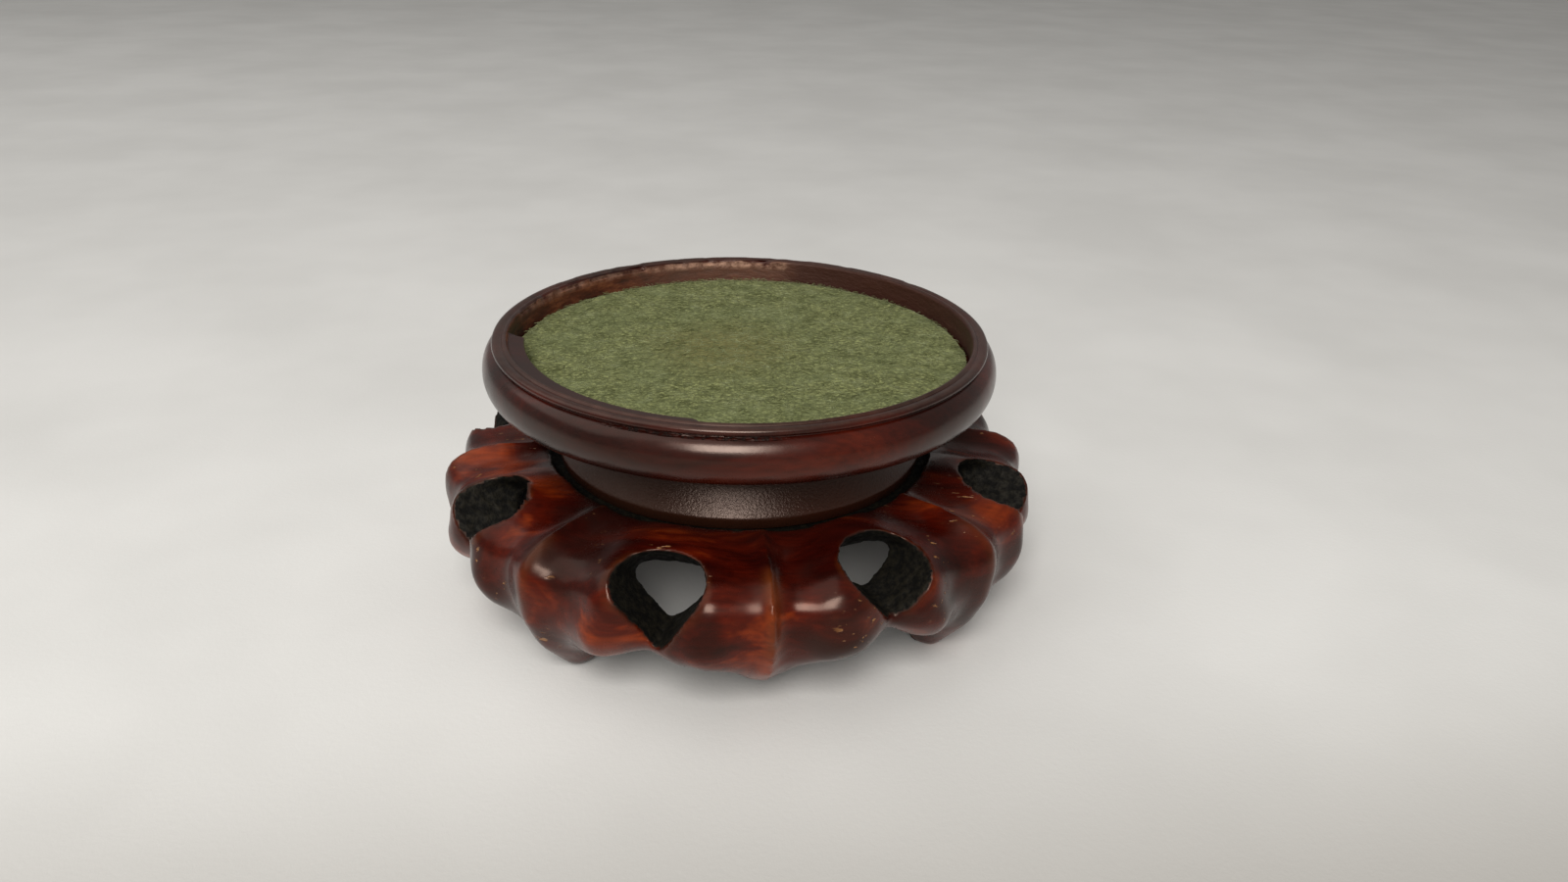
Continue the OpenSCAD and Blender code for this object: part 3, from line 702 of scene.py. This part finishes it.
for n in range(FIBRES):
    felt_z = felt_skin.find_nearest((mid[n][0] * MM, mid[n][1] * MM, (FELT_TOP + 1) * MM))[0].z / MM
    room = (LEDGE_R - 0.4 if over_ledge[n] else FELT_R - 0.1)
    rings = []
    for share, fat, rise in ((-0.5, 0, -0.12), (-0.18, 1, 1), (0.2, 1, 0.9), (0.5, 0, -0.12)):
        sideways = side[n] * sway[n] * length[n] * (share * share - 0.1)
        spot = mid[n] + along[n] * length[n] * share + sideways
        spot *= min(1, room / max(np.hypot(*spot), 0.1))
        z = felt_z + 0.01 + lift[n] * rise
        if not fat:
            rings.append([len(strand_points)])
            strand_points.append((spot[0] * MM, spot[1] * MM, z * MM))
            continue
        ring = []
        for corner in range(STRAND_SIDES):
            turn = 2 * math.pi * corner / STRAND_SIDES
            out = side[n] * math.cos(turn) * thick[n]
            ring.append(len(strand_points))
            strand_points.append(((spot[0] + out[0]) * MM, (spot[1] + out[1]) * MM,
                                  (z + math.sin(turn) * thick[n]) * MM))
        rings.append(ring)
    first, low, high, last = rings
    for corner in range(STRAND_SIDES):
        after = (corner + 1) % STRAND_SIDES
        strand_faces.append((first[0], low[after], low[corner]))
        strand_faces.append((low[corner], low[after], high[after], high[corner]))
        strand_faces.append((high[corner], high[after], last[0]))
nap_mesh = bpy.data.meshes.new("felt_loose_fibres")
nap_mesh.from_pydata(strand_points, [], strand_faces)
nap = bpy.data.objects.new("felt_loose_fibres", nap_mesh)
bpy.context.collection.objects.link(nap)
pick_up(nap)
bpy.ops.object.mode_set(mode="EDIT")
bpy.ops.mesh.select_all(action="SELECT")
bpy.ops.mesh.normals_make_consistent(inside=False)
bpy.ops.object.mode_set(mode="OBJECT")
bpy.ops.object.shade_smooth()
loose, tree, shader, place = new_finish("loose_green_wool")
shade = noise(tree, place, 330, 2, 0.5)
pale = tints(tree, shade, ((0.36, (0.110, 0.122, 0.046)), (0.52, (0.185, 0.205, 0.092)),
                           (0.66, (0.300, 0.325, 0.170))))
tree.links.new(pale, shader.inputs["Base Color"])
shader.inputs["Roughness"].default_value = 0.85
shader.inputs["Specular IOR Level"].default_value = 0.25
nap.data.materials.append(loose)
for piece in (felt, nap):
    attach(piece, "root")
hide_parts("felt_lining")

# The stand is shown on a pale floor, lit by a soft lamp in front and a large pale light high
# on the left, and seen from above and in front, a little to the left of its front leg.
FLOOR_SIDE = 8.0
bpy.ops.object.select_all(action="DESELECT")
bpy.ops.mesh.primitive_plane_add(size=FLOOR_SIDE, location=(0, 0, 0))
floor = bpy.context.object
floor.name = "pale_floor"
paper, tree, shader, place = new_finish("pale_paper")
cloudy = noise(tree, place, 14, 3, 0.55)
sheet_tint = tints(tree, cloudy, ((0.35, (0.70, 0.695, 0.675)), (0.65, (0.76, 0.755, 0.735))))
# The paper is painted darker towards the front: a painted shade.
towards_front = add(tree, "SeparateXYZ", "Y", {"Vector": place})
sheet_tint = over(tree, band(tree, towards_front, -0.03, -0.13, 0, 1), sheet_tint, (0.37, 0.355, 0.33))
tree.links.new(sheet_tint, shader.inputs["Base Color"])
shader.inputs["Roughness"].default_value = 0.8
shader.inputs["Specular IOR Level"].default_value = 0.2
bumps(tree, shader, noise(tree, place, 900, 4, 0.6), 0.05 * MM)
floor.data.materials.append(paper)
floor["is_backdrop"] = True


def lamp(name, wide, deep, watts, colour, place, tilt, turn):
    """A soft lamp that faces down, then tilted up towards the back and turned round the axis."""
    lit = bpy.data.objects.new(name, bpy.data.lights.new(name, "AREA"))
    lit.data.shape = "RECTANGLE"
    lit.data.size, lit.data.size_y = wide, deep
    lit.data.energy = watts
    lit.data.color = colour
    lit.location = place
    lit.rotation_euler = (math.radians(tilt), 0, math.radians(turn))
    bpy.context.collection.objects.link(lit)


lamp("front_lamp", 0.36, 0.42, 6.4, (1.0, 0.975, 0.94), (-0.13, -0.622, 0.573), 50, -12)
lamp("left_ceiling", 1.2, 1.2, 3.6, (1.0, 0.99, 0.97), (-0.55, 0.10, 0.85), 30, -95)
pale_room = bpy.data.worlds.new("pale_room")
pale_room.use_nodes = True
pale_room.node_tree.nodes["Background"].inputs["Color"].default_value = (1.0, 0.98, 0.95, 1)
pale_room.node_tree.nodes["Background"].inputs["Strength"].default_value = 0.27
bpy.context.scene.world = pale_room
bpy.context.scene.view_settings.view_transform = "Standard"

TURN, TILT, ROLL = math.radians(-8), 0.44137563, 0.02650865
DISTANCE, SIDEWAYS, UPWARDS = 0.2325, 0.008649, -0.021424
eye = bpy.data.objects.new("eye", bpy.data.cameras.new("eye"))
eye.data.sensor_width, eye.data.lens = 36.0, 28.125
eye.data.clip_start, eye.data.clip_end = 0.01, 50.0
eye.matrix_world = (Matrix.Translation((0, 0, LIP_TOP * MM)) @ Matrix.Rotation(TURN, 4, "Z")
                    @ Matrix.Rotation(math.pi / 2 - TILT, 4, "X")
                    @ Matrix.Translation((SIDEWAYS, UPWARDS, DISTANCE)) @ Matrix.Rotation(ROLL, 4, "Z"))
bpy.context.collection.objects.link(eye)
bpy.context.scene.camera = eye

low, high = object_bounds()
